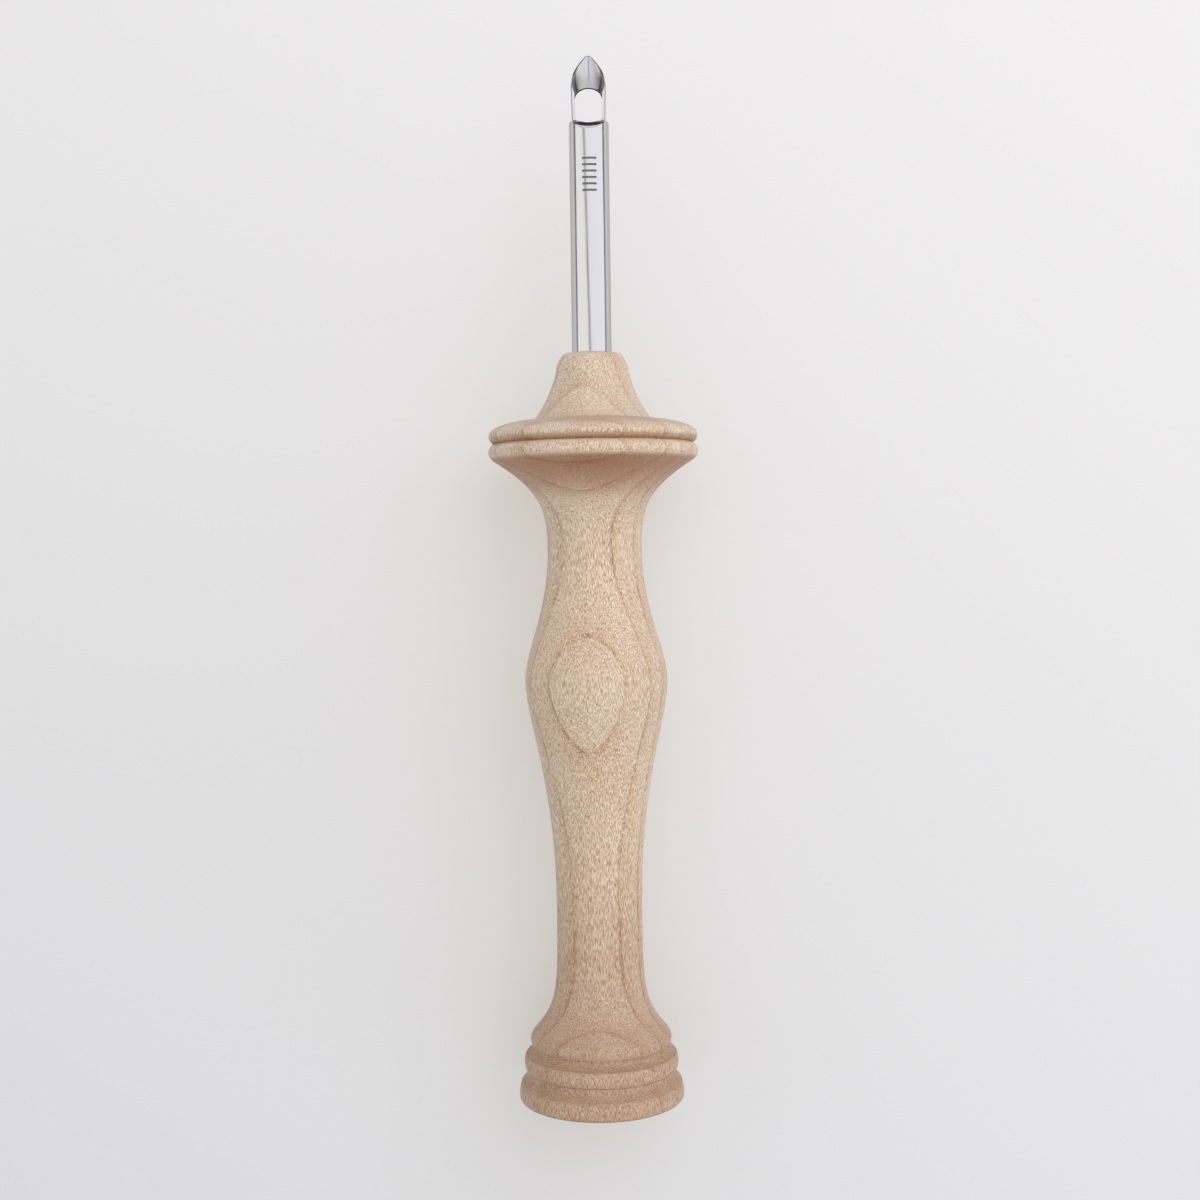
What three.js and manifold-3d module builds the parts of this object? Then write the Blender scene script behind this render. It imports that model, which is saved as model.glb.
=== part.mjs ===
// Punch needle: a turned wooden handle with a slotted steel needle glued into its nose.
// Millimetres, +Z up. The tool lies on its flange and foot with the needle towards +Y
// and the yarn channel underneath.
import * as THREE from 'three';
import { mergeVertices } from 'three/addons/utils/BufferGeometryUtils.js';
import Module from 'manifold-3d';

const wasm = await Module();
wasm.setup();

// Handle: lengths of its turned stretches, from the foot end to the nose
const footThickness = 2.8;
const lowerCoveWidth = 1.9;
const baseBeadWidth = 2.5;
const upperCoveWidth = 1.3;
const collarWidth = 2.1;
const baseToStem = 19.4;
const stemToGrip = 34.3;
const gripToNeck = 19.9;
const neckToFlange = 13.5;
const flangeBeadWidth = 2.5;
const flangeDomeCrest = 1.3;
const flangeDomeWidth = 3.65;
const noseSweepLength = 8.05;
const noseLipLength = 1.9;

// Handle: radii, from the foot end to the nose
const footRadius = 12.6;
const footCornerRadius = 0.8;
const footTopRadius = 12.3;
const lowerCoveRadius = 11.2;
const baseBeadEdgeRadius = 11.35;
const baseBeadRadius = 11.8;
const upperCoveRadius = 10.3;
const collarEdgeRadius = 10.5;
const collarRadius = 10.8;
const collarTopRadius = 10.3;
const stemRadius = 6.55;
const gripRadius = 10.83;
const neckRadius = 7.15;
const flangeEdgeRadius = 15.2;
const flangeBeadRadius = 15.92;
const flangeGrooveRadius = 15.15;
const flangeDomeRadius = 15.85;
const flangeDomePullRadius = 15.7;
const noseFootRadius = 9.0;
const noseRootRadius = 8.1;
const noseSideRadius = 5.9;
const noseRadius = 5.4;
const noseLipRadius = 4.7;
const noseFaceRadius = 3.95;

// Handle: how far each sweep keeps the direction it starts or ends with, as a share of its length
const stemStartHold = 0.56;
const stemEndHold = 0.18;
const gripStartHold = 0.24;
const gripEndHold = 0.48;
const neckStartHold = 0.44;
const neckEndHold = 0.34;
const baseStartHold = 0.22;
const baseEndHold = 0.66;

// Handle: growth of the radius per length where the sweeps leave the collar and meet the flange
const baseSlope = -0.9;
const flareSlope = 1.6;

// Handle: lengths from a curve's start or end to the point along the axis that pulls it
const flangeHold = 0.55;
const flangeDomePullRise = 3.05;
const noseRootRise = 0.8;
const noseSideRise = 4.5;

// Yarn channel milled along the whole underside of the handle
const channelWidth = 4.8;

// Needle: a steel tube, milled open underneath from its inner end to the eye
const needleRadius = 3.0;
const needleWall = 0.5;
const needleLength = 70.55;
const needleEmbedded = 25;
const needleSlotWidth = 4.22;

// Needle point, measured back from the tip or up from the needle's axis
const lipToTip = 11.35;
const eyeEndToTip = 5.0;
const bevelLength = 5.2;
const bevelStartHold = 2.0;
const bevelEndHold = 1.9;
const shoulderHeight = -0.9;
const saddleHeight = -1.5;
const saddleFillet = 0.6;
const bevelHeight = -1.3;
const bevelDipHeight = -1.5;
const bevelFootHeight = -2.74;
const tipHeight = -2.94;

// Glue between needle and bore, and the gap that each face keeps to its neighbour
const glueThickness = 0.2;
const faceGap = 0.05;
const boreFloorGap = 0.3;

// Mesh fineness: sides of every round section, and how far a cutting tool reaches past its work
const roundSides = 48;
const overrun = 2;

// Places along the handle's axis, from the foot end
const beadStart = footThickness + lowerCoveWidth;
const upperCoveStart = beadStart + baseBeadWidth;
const collarStart = upperCoveStart + upperCoveWidth;
const collarEnd = collarStart + collarWidth;
const stemAt = collarEnd + baseToStem;
const gripAt = stemAt + stemToGrip;
const neckAt = gripAt + gripToNeck;
const flangeStart = neckAt + neckToFlange;
const flangeCrestAt = flangeStart + flangeBeadWidth / 2;
const grooveAt = flangeStart + flangeBeadWidth;
const domeCrestAt = grooveAt + flangeDomeCrest;
const flangeEnd = grooveAt + flangeDomeWidth;
const noseLipStart = flangeEnd + noseSweepLength;
const handleLength = noseLipStart + noseLipLength;
const needleStart = handleLength - needleEmbedded;
const tipAt = needleStart + needleLength;
const glueInnerRadius = needleRadius + faceGap;
const glueOuterRadius = glueInnerRadius + glueThickness;
const boreRadius = glueOuterRadius + faceGap;

const xAxis = new THREE.Vector3(1, 0, 0);
const yAxis = new THREE.Vector3(0, 1, 0);
const zAxis = new THREE.Vector3(0, 0, 1);

function solidOf(geometry) {
  const bare = geometry.clone();
  bare.deleteAttribute('normal');
  bare.deleteAttribute('uv');
  const merged = mergeVertices(bare);
  const corners = merged.index.array;
  const triangles = [];
  for (let i = 0; i < corners.length; i += 3) {
    const [a, b, c] = [corners[i], corners[i + 1], corners[i + 2]];
    if (a !== b && b !== c && c !== a) {
      triangles.push(a, b, c);
    }
  }
  const mesh = new wasm.Mesh({
    numProp: 3,
    vertProperties: merged.attributes.position.array,
    triVerts: Uint32Array.from(triangles),
  });
  return new wasm.Manifold(mesh);
}

function geometryOf(solid) {
  const mesh = solid.getMesh();
  const geometry = new THREE.BufferGeometry();
  geometry.setAttribute('position', new THREE.BufferAttribute(mesh.vertProperties, 3));
  geometry.setIndex(new THREE.BufferAttribute(mesh.triVerts, 1));
  geometry.computeVertexNormals();
  return geometry;
}

// Extrudes a shape drawn in X (across) and Z (up) along the tool's axis
function alongAxis(shape, from, to) {
  const settings = { depth: to - from, bevelEnabled: false, curveSegments: roundSides };
  const geometry = new THREE.ExtrudeGeometry(shape, settings);
  geometry.applyMatrix4(new THREE.Matrix4().makeBasis(xAxis, zAxis, yAxis.clone().negate()));
  geometry.translate(0, to, 0);
  return geometry;
}

function disc(radius) {
  const shape = new THREE.Shape();
  shape.absarc(0, 0, radius, 0, 2 * Math.PI, false);
  return shape;
}

function ring(outerRadius, innerRadius) {
  const shape = disc(outerRadius);
  const hole = new THREE.Path();
  hole.absarc(0, 0, innerRadius, 0, 2 * Math.PI, true);
  shape.holes.push(hole);
  return shape;
}

// A cutting tool with upright walls that opens downwards from the given height
function downwardSlot(width, top, bottom, from, to) {
  const half = width / 2;
  const shape = new THREE.Shape();
  shape.moveTo(-half, bottom);
  shape.lineTo(half, bottom);
  shape.lineTo(half, top);
  shape.lineTo(-half, top);
  return solidOf(alongAxis(shape, from, to));
}

// The turned outline: x is the radius and y the distance from the foot end
function handleOutline() {
  const points = [new THREE.Vector2(0, 0)];
  const add = (curve, steps) => points.push(...curve.getPoints(steps).slice(1));
  const place = (radius, at) => new THREE.Vector2(radius, at);
  const last = () => points[points.length - 1].clone();
  const line = (radius, at) => add(new THREE.LineCurve(last(), place(radius, at)), 1);
  const sweep = (first, second, end, steps) =>
    add(new THREE.CubicBezierCurve(last(), first, second, end), steps);
  const bow = (control, end, steps) => add(new THREE.QuadraticBezierCurve(last(), control, end), steps);
  const bead = (edge, crest, width, steps) => {
    const middle = last().y + width / 2;
    const arc = new THREE.EllipseCurve(edge, middle, crest - edge, width / 2, -Math.PI / 2, Math.PI / 2);
    points.push(...arc.getPoints(steps));
  };

  line(footRadius - footCornerRadius, 0);
  bow(place(footRadius, 0), place(footRadius, footCornerRadius), 4);
  bow(place(footRadius, (footCornerRadius + footThickness) / 2), place(footTopRadius, footThickness), 3);
  bow(place(lowerCoveRadius, footThickness + lowerCoveWidth / 2), place(baseBeadEdgeRadius, beadStart), 5);
  bead(baseBeadEdgeRadius, baseBeadRadius, baseBeadWidth, 6);
  bow(place(upperCoveRadius, upperCoveStart + upperCoveWidth / 2), place(collarEdgeRadius, collarStart), 4);
  bow(place(collarRadius, collarStart + collarWidth / 5), place(collarRadius, collarStart + collarWidth / 2), 2);
  bow(place(collarRadius, collarEnd - collarWidth / 3), place(collarTopRadius, collarEnd), 3);

  const baseHold = baseToStem * baseStartHold;
  sweep(
    place(collarTopRadius + baseHold * baseSlope, collarEnd + baseHold),
    place(stemRadius, stemAt - baseToStem * baseEndHold),
    place(stemRadius, stemAt),
    9,
  );
  sweep(
    place(stemRadius, stemAt + stemToGrip * stemStartHold),
    place(gripRadius, gripAt - stemToGrip * stemEndHold),
    place(gripRadius, gripAt),
    12,
  );
  sweep(
    place(gripRadius, gripAt + gripToNeck * gripStartHold),
    place(neckRadius, neckAt - gripToNeck * gripEndHold),
    place(neckRadius, neckAt),
    9,
  );
  const flareHold = neckToFlange * neckEndHold;
  sweep(
    place(neckRadius, neckAt + neckToFlange * neckStartHold),
    place(flangeEdgeRadius - flareHold * flareSlope, flangeStart - flareHold),
    place(flangeEdgeRadius, flangeStart),
    9,
  );

  // The flange: a round bead, a V groove, and a dome up to the nose
  bow(place(flangeBeadRadius, flangeStart + flangeHold), place(flangeBeadRadius, flangeCrestAt), 4);
  bow(place(flangeBeadRadius, grooveAt - flangeHold), place(flangeGrooveRadius, grooveAt), 4);
  bow(place(flangeDomeRadius, grooveAt + flangeHold), place(flangeDomeRadius, domeCrestAt), 4);
  bow(place(flangeDomePullRadius, grooveAt + flangeDomePullRise), place(noseFootRadius, flangeEnd), 8);
  sweep(
    place(noseRootRadius, flangeEnd + noseRootRise),
    place(noseSideRadius, flangeEnd + noseSideRise),
    place(noseRadius, noseLipStart),
    10,
  );
  bow(place(noseLipRadius, handleLength), place(noseFaceRadius, handleLength), 5);
  line(0, handleLength);
  return points;
}

function makeHandle() {
  const turned = solidOf(new THREE.LatheGeometry(handleOutline(), roundSides));
  const deepest = -flangeBeadRadius - overrun;
  const channelRound = alongAxis(disc(channelWidth / 2), -overrun, handleLength + overrun);
  const channel = downwardSlot(channelWidth, 0, deepest, -overrun, handleLength + overrun);
  const bore = alongAxis(disc(boreRadius), needleStart - boreFloorGap, handleLength + overrun);
  const cut = turned.subtract(solidOf(channelRound)).subtract(channel).subtract(solidOf(bore));
  const material = new THREE.MeshStandardMaterial({ color: 0xd3b592, roughness: 0.55, metalness: 0 });
  return new THREE.Mesh(geometryOf(cut), material);
}

// The slot's cutter seen from above: straight sides with a round end at the eye
function needleSlotCutter() {
  const half = needleSlotWidth / 2;
  const from = needleStart - overrun;
  const roundAt = tipAt - eyeEndToTip - half;
  const shape = new THREE.Shape();
  shape.moveTo(-half, from);
  shape.lineTo(half, from);
  shape.lineTo(half, roundAt);
  shape.absarc(0, roundAt, half, 0, Math.PI, false);
  const depth = needleRadius + overrun;
  const settings = { depth, bevelEnabled: false, curveSegments: roundSides / 2 };
  const geometry = new THREE.ExtrudeGeometry(shape, settings);
  geometry.translate(0, 0, -depth);
  return solidOf(geometry);
}

// What is milled off the top of the point, seen from the side: lip, saddle and quill bevel
function pointCutter() {
  const lipAt = tipAt - lipToTip;
  const bevelAt = tipAt - bevelLength;
  const clear = needleRadius + overrun;
  const shape = new THREE.Shape();
  shape.moveTo(lipAt, clear);
  shape.lineTo(lipAt, shoulderHeight);
  shape.quadraticCurveTo(lipAt, saddleHeight, lipAt + saddleFillet, saddleHeight);
  shape.lineTo(bevelAt, bevelHeight);
  shape.bezierCurveTo(
    bevelAt + bevelStartHold,
    bevelDipHeight,
    tipAt - bevelEndHold,
    bevelFootHeight,
    tipAt,
    tipHeight,
  );
  shape.lineTo(tipAt + overrun, tipHeight);
  shape.lineTo(tipAt + overrun, clear);
  const width = 2 * clear;
  const geometry = new THREE.ExtrudeGeometry(shape, { depth: width, bevelEnabled: false, curveSegments: 10 });
  geometry.translate(0, 0, -width / 2);
  geometry.applyMatrix4(new THREE.Matrix4().makeBasis(yAxis, zAxis, xAxis));
  return solidOf(geometry);
}

function makeNeedle() {
  const tube = solidOf(alongAxis(ring(needleRadius, needleRadius - needleWall), needleStart, tipAt));
  const cut = tube.subtract(needleSlotCutter()).subtract(pointCutter());
  const material = new THREE.MeshStandardMaterial({ color: 0xd0d2d4, roughness: 0.18, metalness: 1 });
  return new THREE.Mesh(geometryOf(cut), material);
}

function makeGlueSleeve() {
  const end = handleLength - boreFloorGap;
  const sleeve = solidOf(alongAxis(ring(glueOuterRadius, glueInnerRadius), needleStart, end));
  const opening = downwardSlot(channelWidth, 0, -boreRadius, needleStart - overrun, end + overrun);
  const material = new THREE.MeshStandardMaterial({ color: 0xe6d9b8, roughness: 0.35, metalness: 0 });
  return new THREE.Mesh(geometryOf(sleeve.subtract(opening)), material);
}

// Lying on the flange's lower bead and the foot, on the edges of the channel's mouth
function restTilt() {
  const half = channelWidth / 2;
  const flangeDrop = Math.sqrt(flangeBeadRadius ** 2 - half ** 2);
  const footDrop = Math.sqrt(footRadius ** 2 - half ** 2);
  const reach = flangeCrestAt - footCornerRadius;
  return Math.atan2(flangeDrop - footDrop, reach);
}

function makeTool() {
  const tool = new THREE.Group();
  const handle = makeHandle();
  handle.name = 'handle';
  const needle = makeNeedle();
  needle.name = 'needle';
  const glueSleeve = makeGlueSleeve();
  glueSleeve.name = 'glue_sleeve';
  tool.add(handle, needle, glueSleeve);
  tool.rotation.x = restTilt();
  const box = new THREE.Box3().setFromObject(tool, true);
  tool.position.set(-(box.min.x + box.max.x) / 2, -(box.min.y + box.max.y) / 2, -box.min.z);
  return tool;
}

const punchNeedle = new THREE.Group();
punchNeedle.add(makeTool());

export default punchNeedle;
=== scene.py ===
import math

import bmesh
import bpy
from mathutils import Matrix, Vector


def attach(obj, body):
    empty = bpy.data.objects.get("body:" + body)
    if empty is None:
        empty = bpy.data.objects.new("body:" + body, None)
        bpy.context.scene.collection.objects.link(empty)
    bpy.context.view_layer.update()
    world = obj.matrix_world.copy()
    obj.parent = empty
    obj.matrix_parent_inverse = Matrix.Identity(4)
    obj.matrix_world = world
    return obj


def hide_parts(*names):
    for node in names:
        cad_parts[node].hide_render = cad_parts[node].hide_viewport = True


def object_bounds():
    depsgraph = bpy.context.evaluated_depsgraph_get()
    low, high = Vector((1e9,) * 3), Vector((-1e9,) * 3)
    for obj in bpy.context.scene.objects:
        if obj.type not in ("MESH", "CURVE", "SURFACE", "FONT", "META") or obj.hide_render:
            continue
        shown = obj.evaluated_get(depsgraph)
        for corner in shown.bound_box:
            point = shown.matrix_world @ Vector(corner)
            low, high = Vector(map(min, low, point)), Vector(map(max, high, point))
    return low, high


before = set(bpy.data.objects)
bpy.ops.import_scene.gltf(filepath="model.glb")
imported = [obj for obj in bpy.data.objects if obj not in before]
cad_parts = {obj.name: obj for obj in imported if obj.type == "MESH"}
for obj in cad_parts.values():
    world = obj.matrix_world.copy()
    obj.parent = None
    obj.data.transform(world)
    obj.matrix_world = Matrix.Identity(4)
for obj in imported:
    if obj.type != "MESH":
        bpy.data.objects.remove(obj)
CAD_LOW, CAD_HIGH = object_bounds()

bl_info = {
    "name": "Punch needle",
    "version": (1, 0, 0),
    "blender": (4, 5, 0),
    "location": "View3D > Sidebar > Punch needle",
    "description": "Builds a turned maple punch needle with a slotted steel needle",
    "category": "Object",
}

MM = 0.001
# Points closer than this become one, on the handle and on the needle with its thin edges
SAME_POINT, SAME_NEEDLE_POINT = MM / 1000, MM / 500
# Slots of the needle's materials after the polished tube's, which is 0: the milled edges, painted dark as
# shade, and the ground hollow, with painted shade in its corners
MILLED_SHADED, GROUND_SHADED = 1, 2

# Rows of points along the needle's upper edge: the closed wall, its ground end and the lip,
# then the cut's corner, the saddle beside the eye and the bevel
WALL_ROWS, LIP_GROUND_ROWS, LIP_ROWS = 36, 14, 44
CORNER_ROWS, SADDLE_ROWS, BEVEL_ROWS = 10, 30, 62
# Rows along the slot's edge: those that fan out before the lip, on to the eye's round end, and round it
FAN_ROWS, EYE_ROWS, EYE_ROUND_ROWS = 18, 28, 26
# How strongly the rows crowd towards the lip and towards the tip
WALL_CROWDING, BEVEL_CROWDING = 0.6, 1.7
# The lip's end changes over this share of the radius from the middle outwards
LIP_REACH = 0.8
# How much shorter its ground bevel is at that reach, and how roundly the bevel falls
LIP_SHORTENING, LIP_ROUNDNESS = 0.6, 1.3
# The rows that show the bevel start this many of its lengths before the lip
LIP_ROWS_REACH = 1.2
# Angles round from the underside over which the lip's bow and its bevel fade in, in radians
LIP_BOW_ANGLES, LIP_BEVEL_ANGLES = (1.6, 2.2), (1.95, 2.4)
# The ground rim rises from this share of the way up the inside, over the rest of it
RIM_FROM, RIM_REST = 0.8, 0.2
# Sides of the glue film's section and of the table's discs
GLUE_SIDES, DISC_SIDES = 96, 96

# Heights of the growth rings above the tool's axis, in millimetres, at the neck
RING_HEIGHTS = (-14.6, -11.8, -8.9, -5.9, -2.8, 0.2, 3.2, 6.3, 9.55, 14.1)
# Wood below the lowest and above the highest of them that the ring ramps take in
RING_MARGIN = 4


def linear_colour(code):
    """Turns an sRGB hex code into the linear colour that Blender works in."""
    levels = [int(code[i:i + 2], 16) / 255 for i in (1, 3, 5)]
    return tuple(v / 12.92 if v <= 0.04045 else ((v + 0.055) / 1.055) ** 2.4 for v in levels)


def add(tree, kind, *feeds, **settings):
    """Adds a node: plain keywords are its settings, feeds and capitalised keywords its inputs."""
    node = tree.nodes.new(kind)
    for name, value in settings.items():
        if not name[0].isupper():
            setattr(node, name, value)
    inputs = list(zip([socket for socket in node.inputs if socket.enabled], feeds))
    for name, value in settings.items():
        if name[0].isupper():
            inputs.append((node.inputs[name.replace("_", " ")], value))
    for socket, value in inputs:
        if isinstance(value, bpy.types.NodeSocket):
            tree.links.new(value, socket)
        elif socket.type == "RGBA":
            socket.default_value = (*value, 1)
        else:
            socket.default_value = value
    shown = [socket for socket in node.outputs if socket.enabled]
    return shown[0] if shown else node


def length(name, description, millimetres):
    return bpy.props.FloatProperty(
        name=name, description=description, default=millimetres * MM, min=0, precision=5, unit="LENGTH"
    )


def place(name, description, millimetres):
    return bpy.props.FloatProperty(
        name=name, description=description, default=millimetres * MM, precision=5, unit="LENGTH"
    )


def share(name, description, default):
    return bpy.props.FloatProperty(name=name, description=description, default=default, precision=3)


def holds(name, description, default):
    return bpy.props.FloatVectorProperty(name=name, description=description, default=default, size=2)


def count(name, description, default):
    return bpy.props.IntProperty(name=name, description=description, default=default, min=1)


def colour(name, description, code):
    return bpy.props.FloatVectorProperty(
        name=name, description=description, default=linear_colour(code), size=3, min=0, max=1,
        subtype="COLOR",
    )


class HandleSizes(bpy.types.PropertyGroup):
    """The turned handle, measured along its axis from the foot end."""
    foot_thickness: length("Foot thickness", "From the foot end to the lower cove", 2.8)
    foot_radius: length("Foot radius", "Widest radius of the foot", 12.6)
    foot_corner: length("Foot corner", "Rounding of the foot's lower edge", 0.8)
    foot_top_radius: length("Foot top radius", "Radius where the foot meets the lower cove", 12.3)
    lower_cove_width: length("Lower cove width", "Width of the cove between foot and bead", 1.9)
    lower_cove_radius: length("Lower cove radius", "Radius that the lower cove is cut towards", 11.2)
    upper_cove_width: length("Upper cove width", "Width of the cove between bead and collar", 1.3)
    upper_cove_radius: length("Upper cove radius", "Radius that the upper cove is cut towards", 10.3)
    bead_width: length("Bead width", "Width of the bead between the coves", 2.5)
    bead_edge_radius: length("Bead edge radius", "Radius where the bead meets the coves", 11.35)
    bead_radius: length("Bead radius", "Widest radius of the bead", 11.8)
    collar_width: length("Collar width", "Width of the rounded collar above the coves", 2.1)
    collar_edge_radius: length("Collar edge radius", "Radius where the collar meets the upper cove", 10.5)
    collar_radius: length("Collar radius", "Widest radius of the collar", 10.8)
    collar_top_radius: length("Collar top radius", "Radius where the stem's sweep starts", 10.3)
    base_to_stem: length("Base to stem", "From the collar to the thinnest place of the stem", 19.4)
    stem_radius: length("Stem radius", "Thinnest radius of the stem", 6.55)
    stem_to_grip: length("Stem to grip", "From the thinnest stem to the widest grip", 34.3)
    grip_radius: length("Grip radius", "Widest radius of the grip", 10.83)
    grip_to_neck: length("Grip to neck", "From the widest grip to the thinnest neck", 19.9)
    neck_radius: length("Neck radius", "Thinnest radius of the neck", 7.15)
    neck_to_flange: length("Neck to flange", "From the thinnest neck to the flange", 13.5)
    flange_edge_radius: length("Flange edge radius", "Radius at the foot side of the flange", 15.2)
    flange_radius: length("Flange radius", "Widest radius of the flange's lower bead", 15.92)
    flange_bead_width: length("Flange bead width", "Width of the flange's lower bead", 2.5)
    flange_hold: length("Flange hold", "How far the flange's curves lean towards their crests", 0.55)
    groove_radius: length("Groove radius", "Radius at the bottom of the V groove above that bead", 15.15)
    dome_radius: length("Dome radius", "Widest radius of the dome above the groove", 15.85)
    dome_crest: length("Dome crest", "From the groove to the widest place of the dome", 1.3)
    dome_pull_radius: length("Dome pull radius", "Radius that the dome's shoulder is drawn towards", 15.7)
    dome_pull_rise: length("Dome pull rise", "How far above the groove that pull lies", 3.05)
    dome_width: length("Dome width", "From the groove to the foot of the nose", 3.65)
    nose_foot_radius: length("Nose foot radius", "Radius where the dome meets the nose", 9.0)
    nose_root_radius: length("Nose root radius", "Radius that the nose's foot is drawn towards", 8.1)
    nose_root_rise: length("Nose root rise", "How far above the dome that pull lies", 0.8)
    nose_side_radius: length("Nose side radius", "Radius that the nose's side is drawn from", 5.9)
    nose_side_rise: length("Nose side rise", "How far above the dome that pull lies", 4.5)
    nose_sweep: length("Nose sweep", "From the dome to the rounded lip of the nose", 8.05)
    nose_radius: length("Nose radius", "Radius of the nose below its lip", 5.4)
    nose_lip: length("Nose lip", "Rounding at the end of the nose", 1.9)
    nose_lip_radius: length("Nose lip radius", "Radius that the lip's rounding is drawn towards", 4.7)
    nose_face_radius: length("Nose face radius", "Radius of the flat end of the nose", 3.95)
    channel_width: length("Channel width", "Width of the yarn channel", 4.8)
    channel_softening: length("Channel softening", "Rounding of the channel's mouth", 0.45)
    bore_radius: length("Bore radius", "Radius of the bore that holds the needle", 3.3)
    bore_depth: length("Bore depth", "Depth of the bore from the end of the nose", 25.3)
    stem_holds: holds("Stem holds", "How far the stem and the grip keep straight", (0.56, 0.18))
    grip_holds: holds("Grip holds", "How far the grip and the neck keep straight", (0.24, 0.48))
    neck_holds: holds("Neck holds", "How far the neck and the flange keep straight", (0.44, 0.34))
    base_holds: holds("Base holds", "How far the collar and the stem keep straight", (0.22, 0.66))
    base_slope: share("Base slope", "Slope of the outline as it leaves the collar", -0.9)
    flare_slope: share("Flare slope", "Slope of the outline as it meets the flange", 1.6)
    curve_steps: count("Curve steps", "Rings of points in each stretch of the outline", 19)
    half_sides: count("Half sides", "Columns of points in half of the handle's section", 88)


class NeedleSizes(bpy.types.PropertyGroup):
    """The slotted needle, measured back from its tip and up from its axis."""
    radius: length("Radius", "Outside radius of the tube", 3.0)
    wall: length("Wall", "Thickness of the tube's wall", 0.5)
    full_length: length("Length", "Whole length of the needle", 70.55)
    slot_width: length("Slot width", "Width of the slot and the eye", 4.22)
    lip_to_tip: length("Lip to tip", "From the end of the closed wall to the tip", 11.35)
    lip_bevel: length("Lip bevel", "Length of the ground bevel at the closed wall's end", 0.9)
    lip_drop: length("Lip drop", "How far the bevel falls", 0.44)
    lip_bow: length("Lip bow", "How far the lip curls towards the tip at its corners", 0.6)
    eye_to_tip: length("Eye to tip", "From the far end of the eye to the tip", 5.0)
    bevel: length("Bevel", "Length of the quill bevel", 5.2)
    bevel_start_hold: length("Bevel start hold", "How far the saddle keeps level into the bevel", 2.0)
    bevel_end_hold: length("Bevel end hold", "How far the bevel keeps flat before the tip", 1.9)
    shoulder_height: place("Shoulder height", "Where the lip's face starts to curve into the saddle", -0.9)
    saddle_height: place("Saddle height", "Lowest height of the cut beside the eye", -1.5)
    saddle_fillet: length("Saddle fillet", "Length of the curve from the lip's face to the saddle", 0.6)
    bevel_height: place("Bevel height", "Height at which the bevel starts", -1.3)
    bevel_dip: place("Bevel dip", "Height that the bevel's start is drawn towards", -1.5)
    bevel_foot: place("Bevel foot", "Height that the bevel flattens towards", -2.74)
    tip_height: place("Tip height", "Height of the tip", -2.99)
    hollow: length("Hollow", "From the tip to where the point starts to be ground hollow", 6.0)
    tip_wall: length("Tip wall", "Thickness of the wall at the very tip", 0.01)
    rim_height: length("Rim height", "How far the ground rim of the point stands up", 0.14)
    rim_width: length("Rim width", "Width of that rim", 0.13)
    # Near the tip the rim and its outer columns take the milled steel, painted dark as shade along the
    # point's edge
    rim_length: length("Rim length", "From the tip to where that rim turns dull", 3.3)
    eye_bevel: length("Eye bevel", "How far the eye widens towards the inside at its far end", 0.12)
    half_sides: count("Half sides", "Columns of points in half of the needle's section", 44)
    rim_columns: count("Rim columns", "Columns of the hollow that its dull rim takes", 3)


class GlueSizes(bpy.types.PropertyGroup):
    """The film of glue between the needle and its bore."""
    gap: length("Gap", "Clearance of the glue to the needle and to the wood", 0.01)
    sink: length("Sink", "How far the glue stops below the end of the nose", 0.3)
    dip: length("Dip", "How far the glue's visible face is drawn in", 0.12)


class MarkSizes(bpy.types.PropertyGroup):
    """A plain row of etched ticks on the needle."""
    ticks: count("Ticks", "Number of ticks in the row", 6)
    spacing: length("Spacing", "Distance from one tick to the next", 0.95)
    width: length("Width", "Width of a tick along the needle", 0.3)
    span: length("Span", "Length of a tick round the needle", 2.2)
    first: length("First", "From the tip back to the first tick", 16.7)
    proud: length("Proud", "How far a tick stands out, thin enough to read as etching", 0.004)
    thickness: length("Thickness", "Depth of a tick, most of it inside the tube's wall", 0.02)


class WoodLook(bpy.types.PropertyGroup):
    """Colours of the maple."""
    pale: colour("Pale", "Early wood", "#dcc5ac")
    palest: colour("Palest", "Early wood of the neck and nose", "#e4d0bb")
    warm: colour("Warm", "Late wood beside a growth ring", "#cba47e")
    line: colour("Line", "The growth ring itself", "#8c6646")
    fleck: colour("Fleck", "Pores and flecks", "#9c7d5b")
    gloss: colour("Glint", "Bright fibres between the flecks", "#f3e4d0")
    # End grain and painted shade: the tint is stronger on the slopes facing the foot
    end: colour("End grain", "Tint of the end grain on the steep slopes", "#c08a5e")
    # Painted shade in the coves and the groove
    cove: colour("Cove", "Tint of the burnished coves and groove", "#dac9b6")
    # Tints the wood darker and browner towards the foot
    tan: colour("Tan", "Tint of the browner wood towards the foot", "#e1d3cc")


class SteelLook(bpy.types.PropertyGroup):
    """Colours of the polished steel."""
    steel: colour("Steel", "Polished stainless steel", "#cfcfd0")
    edge: colour("Edge", "Reflection at a glancing angle", "#d8d8da")
    # Painted shade: the milled faces are drawn nearly black for the shade they lie in
    milled_shade: colour("Milled edges", "Unpolished edges of the slot, eye and point", "#39393b")
    ground: colour("Ground point", "Inside of the point", "#c6c6c9")
    # Painted shade in the point's corners by the eye
    corner_shade: colour("Burnt corners", "Corners of the point that the wheel ran hot in", "#8a8b89")
    # A painted dark reflection line along the point's middle
    centre_reflection: colour("Crease", "Line that the wheel left along the point", "#9a9a9f")
    etching: colour("Etching", "Etched marks", "#8b8b8c")
    glue: colour("Glue", "Cured glue", "#e4d3ab")


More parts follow.
